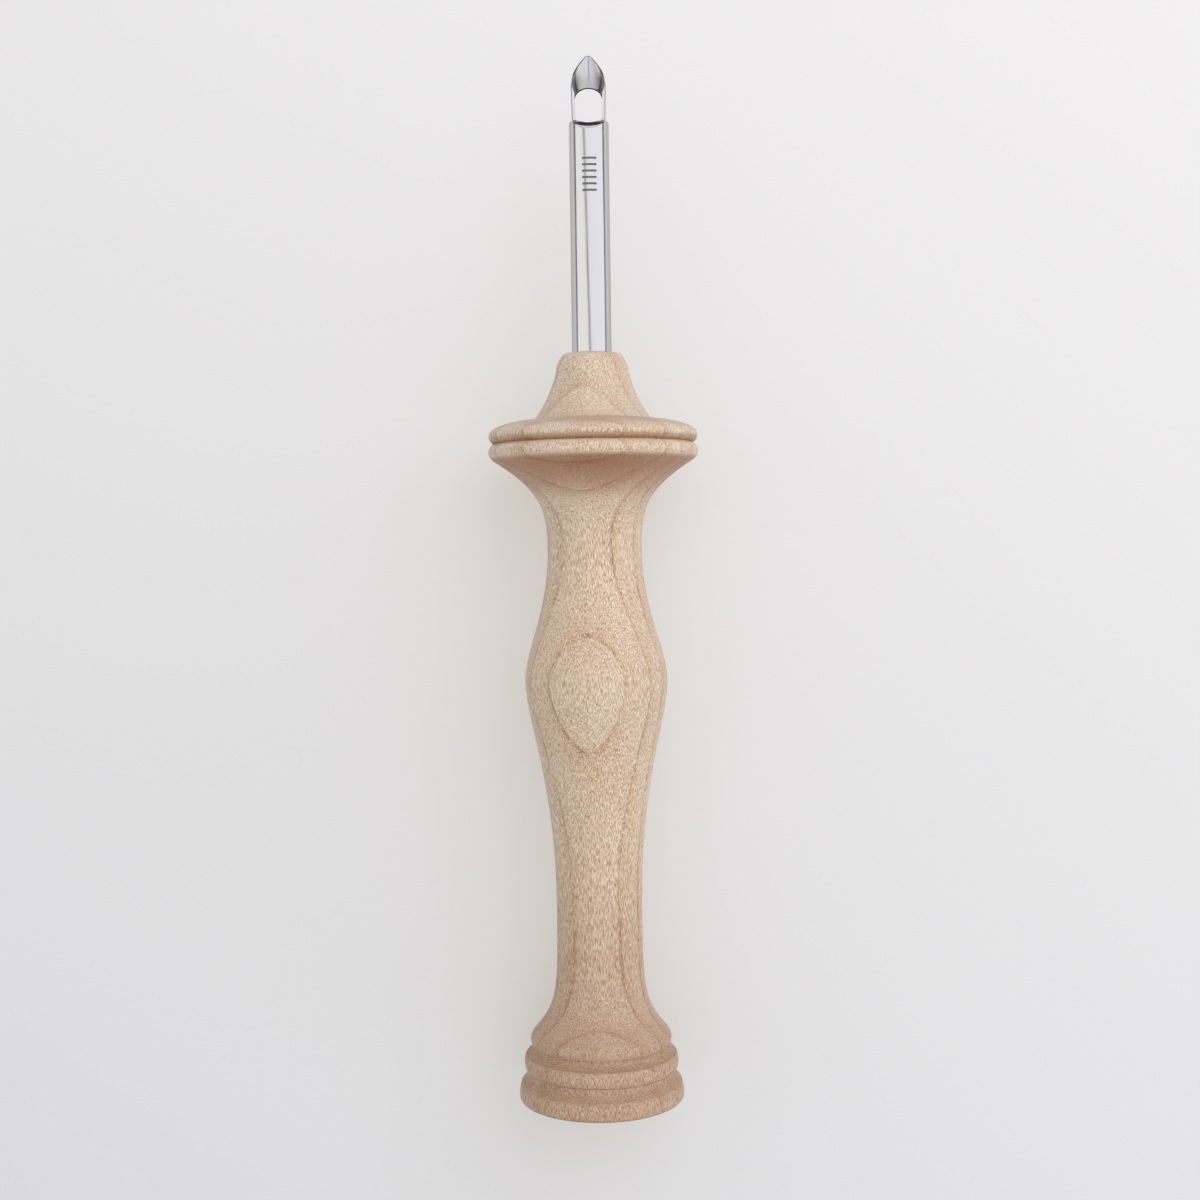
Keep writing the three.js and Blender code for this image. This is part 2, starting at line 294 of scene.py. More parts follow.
class StageSetup(bpy.types.PropertyGroup):
    """Table, lights and camera."""
    opal: colour("Opal", "Opal acrylic as the camera sees it unlit", "#9ba4b3")
    panel: colour("Panel", "Light of the panel under the acrylic", "#fff2dc")
    glow: share("Panel glow", "Strength of the panel's light", 0.45)
    board: colour("Board", "Plain white board that lights the tool from below", "#e3e4e6")
    table: colour("Table", "Grey table outside the picture", "#8f8f92")
    camera_height: length("Camera height", "Camera above the table", 277.7)
    camera_right: place("Camera right", "Camera to the right of the tool's axis", 0.715)
    camera_along: place("Camera along", "Camera along the tool from its middle", -3.06)
    roll: share("Camera roll", "Clockwise turn of the camera, in radians", 0.0138)
    photo_pixels: share("Photo width", "Width of the photograph in pixels", 1200)
    focal_pixels: share("Focal length", "Focal length of the photograph in pixels", 1725)


def handle_outline(sizes):
    """The turned outline as cubic pieces of (radius, distance from the foot end), in metres."""
    pieces = []
    at = Vector((sizes.foot_radius - sizes.foot_corner, 0))

    def sweep(first, second, end):
        nonlocal at
        pieces.append((at, Vector(first), Vector(second), Vector(end)))
        at = Vector(end)

    def bow(control, end):
        control, end = Vector(control), Vector(end)
        sweep(at.lerp(control, 2 / 3), end.lerp(control, 2 / 3), end)

    def bead(edge, crest, width):
        pull = 4 / 3 * math.tan(math.pi / 8)
        start, half, rise = at.y, width / 2, crest - edge
        side = edge + rise * pull
        sweep((side, start), (crest, start + half * (1 - pull)), (crest, start + half))
        sweep((crest, start + half * (1 + pull)), (side, start + width), (edge, start + width))

    s = sizes
    bead_start = s.foot_thickness + s.lower_cove_width
    upper_cove = bead_start + s.bead_width
    collar_start = upper_cove + s.upper_cove_width
    collar_end = collar_start + s.collar_width
    stem_at = collar_end + s.base_to_stem
    grip_at = stem_at + s.stem_to_grip
    neck_at = grip_at + s.grip_to_neck
    flange_start = neck_at + s.neck_to_flange
    groove = flange_start + s.flange_bead_width
    nose_start = groove + s.dome_width
    lip_start = nose_start + s.nose_sweep
    end = lip_start + s.nose_lip

    # The foot, its two coves with the bead between them, and the collar
    bow((s.foot_radius, 0), (s.foot_radius, s.foot_corner))
    bow((s.foot_radius, (s.foot_corner + s.foot_thickness) / 2), (s.foot_top_radius, s.foot_thickness))
    middle = s.foot_thickness + s.lower_cove_width / 2
    bow((s.lower_cove_radius, middle), (s.bead_edge_radius, bead_start))
    bead(s.bead_edge_radius, s.bead_radius, s.bead_width)
    middle = upper_cove + s.upper_cove_width / 2
    bow((s.upper_cove_radius, middle), (s.collar_edge_radius, collar_start))
    collar_crest = (s.collar_radius, collar_start + s.collar_width / 2)
    bow((s.collar_radius, collar_start + s.collar_width / 5), collar_crest)
    bow((s.collar_radius, collar_end - s.collar_width / 3), (s.collar_top_radius, collar_end))

    # The stem, the grip and the neck
    hold = s.base_to_stem * s.base_holds[0]
    sweep(
        (s.collar_top_radius + hold * s.base_slope, collar_end + hold),
        (s.stem_radius, stem_at - s.base_to_stem * s.base_holds[1]),
        (s.stem_radius, stem_at),
    )
    sweep(
        (s.stem_radius, stem_at + s.stem_to_grip * s.stem_holds[0]),
        (s.grip_radius, grip_at - s.stem_to_grip * s.stem_holds[1]),
        (s.grip_radius, grip_at),
    )
    sweep(
        (s.grip_radius, grip_at + s.grip_to_neck * s.grip_holds[0]),
        (s.neck_radius, neck_at - s.grip_to_neck * s.grip_holds[1]),
        (s.neck_radius, neck_at),
    )
    hold = s.neck_to_flange * s.neck_holds[1]
    sweep(
        (s.neck_radius, neck_at + s.neck_to_flange * s.neck_holds[0]),
        (s.flange_edge_radius - hold * s.flare_slope, flange_start - hold),
        (s.flange_edge_radius, flange_start),
    )

    # The flange's bead, groove and dome, and the nose
    crest = flange_start + s.flange_bead_width / 2
    bow((s.flange_radius, flange_start + s.flange_hold), (s.flange_radius, crest))
    bow((s.flange_radius, groove - s.flange_hold), (s.groove_radius, groove))
    bow((s.dome_radius, groove + s.flange_hold), (s.dome_radius, groove + s.dome_crest))
    bow((s.dome_pull_radius, groove + s.dome_pull_rise), (s.nose_foot_radius, nose_start))
    root = (s.nose_root_radius, nose_start + s.nose_root_rise)
    sweep(root, (s.nose_side_radius, nose_start + s.nose_side_rise), (s.nose_radius, lip_start))
    bow((s.nose_lip_radius, end), (s.nose_face_radius, end))
    return pieces


def outline_point(piece, t):
    """A point on one cubic piece of an outline, t of the way along it."""
    a, b, c, d = piece
    u = 1 - t
    return a * u ** 3 + b * 3 * u * u * t + c * 3 * u * t * t + d * t ** 3


def handle_length(sizes):
    """From the foot end to the end of the nose."""
    return handle_outline(sizes)[-1][-1].y


def needle_depth(scene):
    """How deep the needle sits, a little short of the bore's floor."""
    return scene.punch_handle.bore_depth - scene.punch_glue.sink


def tip_place(scene):
    """How far the needle's tip is from the foot end."""
    start = handle_length(scene.punch_handle) - needle_depth(scene)
    return start + scene.punch_needle.full_length


def tool_place(scene):
    """Moves the tool from its own axes, +Y from foot to tip, to where it lies on the table."""
    handle = scene.punch_handle
    outline = handle_outline(handle)
    half = handle.channel_width / 2
    flange_drop = math.sqrt(handle.flange_radius ** 2 - half ** 2)
    foot_drop = math.sqrt(handle.foot_radius ** 2 - half ** 2)
    ends = [piece[-1] for piece in outline]
    flange_crest = next(end.y for end in ends if abs(end.x - handle.flange_radius) < MM / 100)
    tilt = math.atan2(flange_drop - foot_drop, flange_crest - handle.foot_corner)
    turn = Matrix.Rotation(tilt, 4, "X")
    tip = turn @ Vector((0, tip_place(scene), scene.punch_needle.tip_height))
    highest = max((turn @ Vector((0, start.y, start.x))).z for start, *_ in outline)
    return Matrix.Translation((0, CAD_HIGH.y - tip.y, CAD_HIGH.z - highest)) @ turn


def finished(name, mesh, node):
    """Links a finished piece, which stands for a CAD node and rides on the tool."""
    piece = bpy.data.objects.new(name, mesh)
    bpy.context.scene.collection.objects.link(piece)
    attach(piece, "root")
    if node:
        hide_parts(node)
    return piece


def smooth(mesh, degrees):
    """Shades a mesh smooth, apart from edges that turn by more than the given angle."""
    mesh.shade_smooth()
    mesh.set_sharp_from_angle(angle=math.radians(degrees))


def outline_curve(sizes):
    """The outline as a Bezier curve object, radius along X and the tool's axis along Y."""
    data = bpy.data.curves.new("maple_outline", "CURVE")
    data.dimensions = "3D"
    data.resolution_u = sizes.curve_steps
    pieces = handle_outline(sizes)
    spline = data.splines.new("BEZIER")
    spline.bezier_points.add(len(pieces))
    for i, point in enumerate(spline.bezier_points):
        before = pieces[max(i - 1, 0)]
        after = pieces[min(i, len(pieces) - 1)]
        spot = pieces[i][0] if i < len(pieces) else pieces[-1][3]
        point.handle_left_type = point.handle_right_type = "FREE"
        point.co = spot.to_3d()
        point.handle_left = (before[2] if i else spot).to_3d()
        point.handle_right = (after[1] if i < len(pieces) else spot).to_3d()
    curve = bpy.data.objects.new("maple_outline", data)
    bpy.context.scene.collection.objects.link(curve)
    return curve


def new_tree(name, lengths, whole_number):
    """An empty geometry tree with named inputs, and what those inputs give."""
    tree = bpy.data.node_groups.new(name, "GeometryNodeTree")
    sockets = [("Geometry", "INPUT", "Geometry"), ("Geometry", "OUTPUT", "Geometry")]
    sockets += [(measure, "INPUT", "Float") for measure in lengths]
    sockets.append((whole_number, "INPUT", "Int"))
    for label, way, kind in sockets:
        tree.interface.new_socket(label, in_out=way, socket_type=f"NodeSocket{kind}")
    return tree, add(tree, "NodeGroupInput").node.outputs


def end_tree(tree, body, material):
    """Makes a tree's instances real and gives them their material."""
    body = add(tree, "GeometryNodeRealizeInstances", body)
    body = add(tree, "GeometryNodeSetMaterial", body, Material=material)
    add(tree, "NodeGroupOutput", body)
    return tree


def turning_tree(material):
    """Geometry nodes that turn an outline into a body with a channel along its underside."""
    lengths = ("Channel width", "Mouth rounding", "Bore radius", "Bore floor")
    tree, given = new_tree("Turned and channelled", lengths, "Half sides")
    math_node, map_range, vector_node = "ShaderNodeMath", "ShaderNodeMapRange", "ShaderNodeVectorMath"
    combine, both = "ShaderNodeCombineXYZ", ("SINE", "COSINE")

    rings = add(tree, "GeometryNodeResampleCurve", given["Geometry"], mode="EVALUATED")
    ring_total = add(tree, "GeometryNodeAttributeDomainSize", rings, component="CURVE")
    columns = add(tree, math_node, given["Half sides"], 2.0, 1.0, operation="MULTIPLY_ADD")
    grid = add(tree, "GeometryNodeMeshGrid", 1.0, 1.0, columns, ring_total)
    corner = add(tree, "GeometryNodeInputPosition")
    share_of = add(tree, "ShaderNodeSeparateXYZ", corner)
    across = add(tree, math_node, share_of, 0.5, operation="ADD")
    down = add(tree, math_node, share_of.node.outputs["Y"], 0.5, operation="ADD")
    last_ring = add(tree, math_node, ring_total, 1.0, operation="SUBTRACT")
    ring = add(tree, math_node, down, last_ring, 0.5, operation="MULTIPLY_ADD")
    ring = add(tree, math_node, ring, operation="FLOOR")
    outline = add(tree, "GeometryNodeSampleIndex", rings, corner, ring, data_type="FLOAT_VECTOR")
    radius = add(tree, "ShaderNodeSeparateXYZ", outline)
    along = radius.node.outputs["Y"]

    # The seam is the ceiling of the channel, and the middle column is the top of the tool
    side = add(tree, math_node, across, 2.0, -1.0, operation="MULTIPLY_ADD")
    way = add(tree, math_node, side, operation="ABSOLUTE")
    half = add(tree, math_node, given["Channel width"], 0.5, operation="MULTIPLY")
    soft = given["Mouth rounding"]
    inner_radius = add(tree, math_node, radius, soft, operation="SUBTRACT")
    soft_x = add(tree, math_node, half, soft, operation="ADD")
    squares = add(tree, math_node, inner_radius, inner_radius, operation="MULTIPLY")
    soft_square = add(tree, math_node, soft_x, soft_x, operation="MULTIPLY")
    soft_drop = add(tree, math_node, squares, soft_square, operation="SUBTRACT")
    soft_drop = add(tree, math_node, soft_drop, operation="SQRT")
    soft_angle = add(tree, math_node, soft_x, soft_drop, operation="ARCTAN2")

    # Shares of the way from the top to the seam at which each stretch of the section ends:
    # the turned outside, the rounded mouth and the channel's wall
    outer_end, soft_end, wall_end = 0.58, 0.68, 0.8
    turn = add(tree, map_range, way, 0.0, outer_end, math.pi, soft_angle)
    sine, cosine = (add(tree, math_node, turn, operation=part) for part in both)
    outer = add(tree, combine, sine, 0.0, cosine)
    outer = add(tree, vector_node, outer, (1.0, 1.0, -1.0), operation="MULTIPLY")
    outer = add(tree, vector_node, outer, Scale=radius, operation="SCALE")

    turn = add(tree, map_range, way, outer_end, soft_end, soft_angle, -math.pi / 2)
    sine, cosine = (add(tree, math_node, turn, operation=part) for part in both)
    mouth_x = add(tree, math_node, sine, soft, soft_x, operation="MULTIPLY_ADD")
    mouth_z = add(tree, math_node, cosine, soft, soft_drop, operation="MULTIPLY_ADD")
    mouth_z = add(tree, math_node, mouth_z, -1.0, operation="MULTIPLY")
    mouth = add(tree, combine, mouth_x, 0.0, mouth_z)

    in_bore = add(tree, math_node, along, given["Bore floor"], operation="GREATER_THAN")
    ceiling = add(tree, map_range, in_bore, 0.0, 1.0, half, given["Bore radius"])
    ceiling_start = add(tree, math_node, half, ceiling, operation="DIVIDE")
    ceiling_start = add(tree, math_node, ceiling_start, operation="ARCCOSINE")
    ceiling_start = add(tree, math_node, ceiling_start, -1.0, operation="MULTIPLY")
    wall_top = add(tree, math_node, ceiling_start, operation="SINE")
    wall_top = add(tree, math_node, wall_top, ceiling, operation="MULTIPLY")
    wall_bottom = add(tree, math_node, soft_drop, -1.0, operation="MULTIPLY")
    wall_z = add(tree, map_range, way, soft_end, wall_end, wall_bottom, wall_top)
    wall = add(tree, combine, half, 0.0, wall_z)

    turn = add(tree, map_range, way, wall_end, 1.0, ceiling_start, math.pi / 2)
    sine, cosine = (add(tree, math_node, turn, operation=part) for part in both)
    roof = add(tree, combine, cosine, 0.0, sine)
    roof = add(tree, vector_node, roof, Scale=ceiling, operation="SCALE")

    section = outer
    for border, stretch in ((outer_end, mouth), (soft_end, wall), (wall_end, roof)):
        past = add(tree, "FunctionNodeCompare", way, border, operation="GREATER_THAN")
        section = add(tree, "GeometryNodeSwitch", past, section, stretch, input_type="VECTOR")
    which_side = add(tree, math_node, side, operation="SIGN")
    mirror = add(tree, combine, which_side, 1.0, 1.0)
    section = add(tree, vector_node, section, mirror, operation="MULTIPLY")
    spot = add(tree, combine, 0.0, along, 0.0)
    spot = add(tree, vector_node, spot, section, operation="ADD")

    body = add(tree, "GeometryNodeSetPosition", grid, Position=spot)
    body = add(tree, "GeometryNodeMergeByDistance", body, Distance=SAME_POINT)
    return end_tree(tree, body, material)


def apply_tree(source, tree, values, name):
    """Runs a node tree on an object and returns its result as a plain mesh."""
    modifier = source.modifiers.new("build", "NODES")
    modifier.node_group = tree
    for item in tree.interface.items_tree:
        if item.in_out == "INPUT" and item.name in values:
            modifier[item.identifier] = values[item.name]
    bpy.context.view_layer.update()
    graph = bpy.context.evaluated_depsgraph_get()
    mesh = bpy.data.meshes.new_from_object(source.evaluated_get(graph), depsgraph=graph)
    mesh.name = name
    source.modifiers.remove(modifier)
    return mesh


def close_ends(mesh):
    """Closes the open rings at a body's ends and turns its faces outwards."""
    work = bmesh.new()
    work.from_mesh(mesh)
    bmesh.ops.remove_doubles(work, verts=work.verts, dist=SAME_POINT)
    rims = [edge for edge in work.edges if edge.is_boundary]
    bmesh.ops.edgeloop_fill(work, edges=rims)
    bmesh.ops.recalc_face_normals(work, faces=work.faces)
    for face in work.faces:
        face.material_index = 0
    open_edges = sum(1 for edge in work.edges if not edge.is_manifold)
    work.to_mesh(mesh)
    work.free()
    if open_edges:
        raise RuntimeError(f"{mesh.name} isn't closed: {open_edges} open edges")


class PUNCH_OT_turn_handle(bpy.types.Operator):
    """Turns the maple handle from its outline and mills the yarn channel"""
    bl_idname = "punch.turn_handle"
    bl_label = "Turn the handle"

    def execute(self, context):
        sizes = context.scene.punch_handle
        material = maple_material(context.scene)
        tree = turning_tree(material)
        curve = outline_curve(sizes)
        values = {
            "Channel width": sizes.channel_width,
            "Mouth rounding": sizes.channel_softening,
            "Bore radius": sizes.bore_radius,
            "Bore floor": handle_length(sizes) - sizes.bore_depth,
            "Half sides": sizes.half_sides,
        }
        mesh = apply_tree(curve, tree, values, "maple_handle")
        bpy.data.objects.remove(curve)
        close_ends(mesh)
        mesh.materials.clear()
        mesh.materials.append(material)
        mesh.transform(tool_place(context.scene))
        smooth(mesh, degrees=38)
        finished("maple_handle", mesh, "handle")
        return {"FINISHED"}


def quadratic(a, b, c, t):
    """A point on a curve from a to c that is drawn towards b."""
    return a * (1 - t) ** 2 + 2 * b * t * (1 - t) + c * t * t


def point_cut(sizes, tip):
    """The upper edge of the needle from the lip to the tip, as (distance, height) pairs."""
    lip, bevel_at = tip - sizes.lip_to_tip, tip - sizes.bevel
    corner = Vector((lip, sizes.shoulder_height))
    fillet = Vector((lip, sizes.saddle_height))
    saddle = Vector((lip + sizes.saddle_fillet, sizes.saddle_height))
    bend = Vector((bevel_at, sizes.bevel_height))
    level = Vector((bevel_at + sizes.bevel_start_hold, sizes.bevel_dip))
    foot = Vector((tip - sizes.bevel_end_hold, sizes.bevel_foot))
    bevel = (bend, level, foot, Vector((tip, sizes.tip_height)))
    cut = [quadratic(corner, fillet, saddle, i / CORNER_ROWS) for i in range(CORNER_ROWS)]
    cut += [saddle.lerp(bend, i / SADDLE_ROWS) for i in range(SADDLE_ROWS)]
    for i in range(BEVEL_ROWS + 1):
        cut.append(outline_point(bevel, 1 - (1 - i / BEVEL_ROWS) ** BEVEL_CROWDING))
    return cut


def blend_between(value, low, high):
    """Goes smoothly from 0 at the low value to 1 at the high one."""
    share_done = min(max((value - low) / (high - low), 0), 1)
    return share_done * share_done * (3 - 2 * share_done)


def needle_rows(sizes, start, tip):
    """Rows across half of the needle, each from a spot on the slot's edge to one on the upper edge."""
    half = sizes.slot_width / 2
    lip = tip - sizes.lip_to_tip
    eye_end = tip - sizes.eye_to_tip
    eye_centre = eye_end - half

    ground = sizes.lip_bevel * LIP_ROWS_REACH
    whole = lip - ground - start
    shoulder = math.acos(-sizes.shoulder_height / sizes.radius)
    upper = [("wall", start + whole * (i / WALL_ROWS) ** WALL_CROWDING) for i in range(WALL_ROWS)]
    upper += [("wall", lip - ground + ground * i / LIP_GROUND_ROWS) for i in range(LIP_GROUND_ROWS)]
    to_fan = len(upper) - FAN_ROWS
    upper += [("lip", math.pi + (shoulder - math.pi) * i / LIP_ROWS) for i in range(LIP_ROWS)]
    to_eye_round = len(upper) + EYE_ROWS
    to_eye_end = to_eye_round + EYE_ROUND_ROWS
    upper += [("cut", spot) for spot in point_cut(sizes, tip)]

    rows = []
    fan_start = upper[to_fan][1]
    for i, spot in enumerate(upper):
        if i <= to_fan:
            low = (half, spot[1])
        elif i <= to_eye_round:
            reach = (eye_centre - fan_start) * (i - to_fan)
            low = (half, fan_start + reach / (to_eye_round - to_fan))
        elif i <= to_eye_end:
            angle = math.pi / 2 * (i - to_eye_round) / EYE_ROUND_ROWS
            low = (half * math.cos(angle), eye_centre + half * math.sin(angle))
        else:
            left = (i - to_eye_end) / (len(upper) - 1 - to_eye_end)
            low = (0, eye_end + (tip - eye_end) * (1 - (1 - left) ** 2))
        rows.append((low, spot))
    return rows


def needle_mesh(sizes, start, tip):
    """A tube slotted from below, with an eye, a rounded lip and a scooped quill point."""
    radius = sizes.radius
    bore = radius - sizes.wall
    lip = tip - sizes.lip_to_tip
    columns = sizes.half_sides

    def lip_at(angle):
        """Where the closed wall ends, which curls towards the tip at the lip's corners."""
        across = radius * math.sin(angle)
        bow = min(across / (radius * LIP_REACH), 1) ** 2
        return lip + sizes.lip_bow * bow * blend_between(angle, *LIP_BOW_ANGLES)

    def outer_spot(angle, at):
        """A point on the outside, which is ground down towards the lip."""
        end = lip_at(angle)
        across = min(abs(radius * math.sin(angle)) / (radius * LIP_REACH), 1)
        ground = sizes.lip_bevel * (1 - LIP_SHORTENING * across ** 2)
        over = min(max(at - (end - ground), 0) / ground, 1)
        drop = sizes.lip_drop * over ** LIP_ROUNDNESS * blend_between(angle, *LIP_BEVEL_ANGLES)
        r = radius - drop
        return Vector((r * math.sin(angle), at, -r * math.cos(angle)))

    def inner_radius(at):
        """Radius of the inside, which is ground hollow towards the tip."""
        left = min((tip - at) / sizes.hollow, 1)
        return bore + (sizes.wall - sizes.tip_wall) * (1 - left ** 4)

    eye_end = tip - sizes.eye_to_tip
    eye_centre = eye_end - sizes.slot_width / 2
    rim_start = tip - sizes.rim_length

    def eye_widening(low_x, low_at):
        """How the inside moves away from the eye: its share across and its distance along."""
        if low_at <= eye_centre:
            return Vector((0, 0))
        if low_at < eye_end:
            rise = (low_at - eye_centre) / (eye_end - eye_centre)
            spread = sizes.eye_bevel * blend_between(rise, 0, 0.4)
            return Vector((spread * math.sqrt(1 - rise ** 2) / max(low_x, MM / 10), spread * rise))
        return Vector((0, sizes.eye_bevel * (tip - low_at) / (tip - eye_end)))

    work = bmesh.new()

    def half_strip(sign):
        outer, inner, middle = [], [], []
        for (low_x, low_at), (kind, spot) in needle_rows(sizes, start, tip):
            if kind == "wall":
                up_at, up_outer, up_height = spot, math.pi, None
            elif kind == "lip":
                up_at, up_outer, up_height = lip_at(spot), spot, -bore * math.cos(spot)
            else:
                up_at, up_height = spot
                up_outer = math.acos(max(min(-up_height / radius, 1), -1))
            low_outer = math.asin(low_x / radius)
            up_inner = math.pi
            if kind != "wall":
                up_inner = math.acos(min(-up_height / inner_radius(up_at), 1))
            wider = eye_widening(low_x, low_at)
            low_inner = math.asin(low_x * (1 + wider.x) / inner_radius(low_at + wider.y))
            rim = Vector((0, 0, 0))
            if kind == "cut":
                # The rim's outer edge is bevelled: below the cut beside the eye, and
                # above it round the point
                ridge = blend_between(up_at, tip - sizes.hollow, tip - sizes.hollow / 2)
                up_outer = math.acos(min((sizes.rim_height * (1 - ridge) - up_height) / radius, 1))
                edge_in = inner_radius(up_at) * math.sin(up_inner)
                edge_out = radius * math.sin(up_outer) - sizes.rim_width
                rim = Vector((max(edge_out - edge_in, 0), 0, sizes.rim_height)) * ridge
            outer_row, inner_row = [], []
            for j in range(columns + 1):
                t = j / columns
                at = low_at + (up_at - low_at) * t
                spot_out = outer_spot(low_outer + (up_outer - low_outer) * t, at)
                at += wider.y * (1 - t)
                r = inner_radius(at)
                angle = low_inner + (up_inner - low_inner) * t
                spot_in = Vector((r * math.sin(angle), at, -r * math.cos(angle)))
                spot_in += rim * max((t - RIM_FROM) / RIM_REST, 0) ** 2
                spot_out.x *= sign
                spot_in.x *= sign
                outer_row.append(work.verts.new(spot_out))
                inner_row.append(work.verts.new(spot_in))
            outer.append(outer_row)
            inner.append(inner_row)
            top = spot_out.lerp(spot_in, 0.5)
            if kind == "cut":
                reach = max(abs(spot_out.x) - sizes.rim_width, abs(spot_in.x))
                top = Vector((sign * reach, up_at, spot_in.z))
            middle.append(work.verts.new(top))
        # The cut faces of the slot and eye, and the point's rim and cut faces near the tip, take the
        # milled steel, painted dark as shade; the rest of the hollow near the tip takes the ground steel
        # with its painted shade
        for i in range(len(outer) - 1):
            for j in range(columns):
                for rows in (outer, inner):
                    here, there = rows[i], rows[i + 1]
                    face = work.faces.new((here[j], there[j], there[j + 1], here[j + 1]))
                    if rows is inner and rows[i][j].co.y > tip - sizes.hollow:
                        on_rim = j >= columns - sizes.rim_columns and rows[i][j].co.y > rim_start
                        face.material_index = MILLED_SHADED if on_rim else GROUND_SHADED
            face = work.faces.new((outer[i][0], outer[i + 1][0], inner[i + 1][0], inner[i][0]))
            face.material_index = MILLED_SHADED
            for rows in (outer, inner):
                here, there = rows[i][columns], rows[i + 1][columns]
                face = work.faces.new((here, there, middle[i + 1], middle[i]))
                if middle[i].co.y > rim_start:
                    face.material_index = MILLED_SHADED
        for j in range(columns):
            for i in (0, len(outer) - 1):
                work.faces.new((outer[i][j], outer[i][j + 1], inner[i][j + 1], inner[i][j]))
        for i in (0, len(outer) - 1):
            work.faces.new((outer[i][columns], middle[i], inner[i][columns]))

    half_strip(1)
    half_strip(-1)
    bmesh.ops.remove_doubles(work, verts=work.verts, dist=SAME_NEEDLE_POINT)
    bmesh.ops.dissolve_degenerate(work, dist=SAME_NEEDLE_POINT, edges=work.edges)
    # The walls between the two halves close on themselves where the halves meet, and go
    doubled = [face for face in work.faces if all(abs(v.co.x) < SAME_NEEDLE_POINT for v in face.verts)]
    bmesh.ops.delete(work, geom=doubled, context="FACES")
    bmesh.ops.recalc_face_normals(work, faces=work.faces)
    mesh = bpy.data.meshes.new("steel_needle")
    work.to_mesh(mesh)
    open_edges = sum(1 for edge in work.edges if not edge.is_manifold)
    work.free()
    if open_edges:
        raise RuntimeError(f"The needle isn't closed: {open_edges} open edges")
    return mesh


class PUNCH_OT_mill_needle(bpy.types.Operator):
    """Makes the slotted steel needle with its eye and quill point"""
    bl_idname = "punch.mill_needle"
    bl_label = "Mill the needle"

    def execute(self, context):
        scene = context.scene
        sizes = scene.punch_needle
        tip = tip_place(scene)
        mesh = needle_mesh(sizes, tip - sizes.full_length, tip)
        mesh.transform(tool_place(scene))
        smooth(mesh, degrees=35)
        for make_material in (polished_material, milled_shaded_edge_material, ground_shaded_material):
            mesh.materials.append(make_material(scene))
        finished("steel_needle", mesh, "needle")
        return {"FINISHED"}


class PUNCH_OT_fill_glue(bpy.types.Operator):
    """Fills the space between the needle and its bore with glue"""
    bl_idname = "punch.fill_glue"
    bl_label = "Fill the glue"

    def execute(self, context):
        scene = context.scene
        handle, needle, glue = scene.punch_handle, scene.punch_needle, scene.punch_glue
        inner, outer = needle.radius + glue.gap, handle.bore_radius - glue.gap
        start = handle_length(handle) - needle_depth(scene)
        end = handle_length(handle) - glue.sink
        opening = handle.channel_width / 2
        profile = [(inner, start), (outer, start), (outer, end)]
        for t in (0.2, 0.4, 0.6, 0.8):
            profile.append((outer + (inner - outer) * t, end - glue.dip * math.sin(math.pi * t)))
        profile.append((inner, end))
        work = bmesh.new()
        rings = []
        for i in range(GLUE_SIDES + 1):
            ring = []
            for radius, at in profile:
                edge = math.asin(opening / radius)
                angle = edge + (2 * math.pi - 2 * edge) * i / GLUE_SIDES
                ring.append(work.verts.new((radius * math.sin(angle), at, -radius * math.cos(angle))))
            rings.append(ring)
        total = len(profile)
        for one, two in zip(rings, rings[1:]):
            for k in range(total):
                work.faces.new((one[k], one[(k + 1) % total], two[(k + 1) % total], two[k]))
        work.faces.new(rings[0])
        work.faces.new(rings[-1])
        bmesh.ops.recalc_face_normals(work, faces=work.faces)
        mesh = bpy.data.meshes.new("glue_film")
        work.to_mesh(mesh)
        work.free()
        mesh.transform(tool_place(scene))
        smooth(mesh, degrees=35)
        mesh.materials.append(glue_material(scene))
        finished("glue_film", mesh, "glue_sleeve")
        return {"FINISHED"}


def tool_spot(tree, scene):
    """Object coordinates turned to the tool's own axes, in millimetres."""
    scaled = Matrix.Scale(1 / MM, 4) @ tool_place(scene).inverted()
    place_at, turn, _ = scaled.decompose()
    where = add(tree, "ShaderNodeTexCoord").node.outputs["Object"]
    return add(
        tree, "ShaderNodeMapping", where,
        Location=place_at, Rotation=turn.to_euler(), Scale=(1 / MM, 1 / MM, 1 / MM),
    )


def new_material(name):
    """A material with an empty node tree."""
    material = bpy.data.materials.new(name)
    material.use_nodes = True
    material.node_tree.nodes.clear()
    return material, material.node_tree


def ring_ramp(tree, depth, before, after):
    """Rises to 1 at each growth ring, from the given distance below it to the one above it."""
    low, high = min(RING_HEIGHTS) - RING_MARGIN, max(RING_HEIGHTS) + RING_MARGIN
    spread = add(tree, "ShaderNodeMapRange", depth, low, high)
    ramp = add(tree, "ShaderNodeValToRGB", spread)
    stops = ramp.node.color_ramp.elements
    stops.remove(stops[0])
    stops[0].position = 0.0
    stops[0].color = (0, 0, 0, 1)
    for height in RING_HEIGHTS:
        for offset, level in ((-before, 0.0), (0.0, 1.0), (after, 0.0)):
            stop = stops.new((height + offset - low) / (high - low))
            stop.color = (level, level, level, 1)
    return ramp


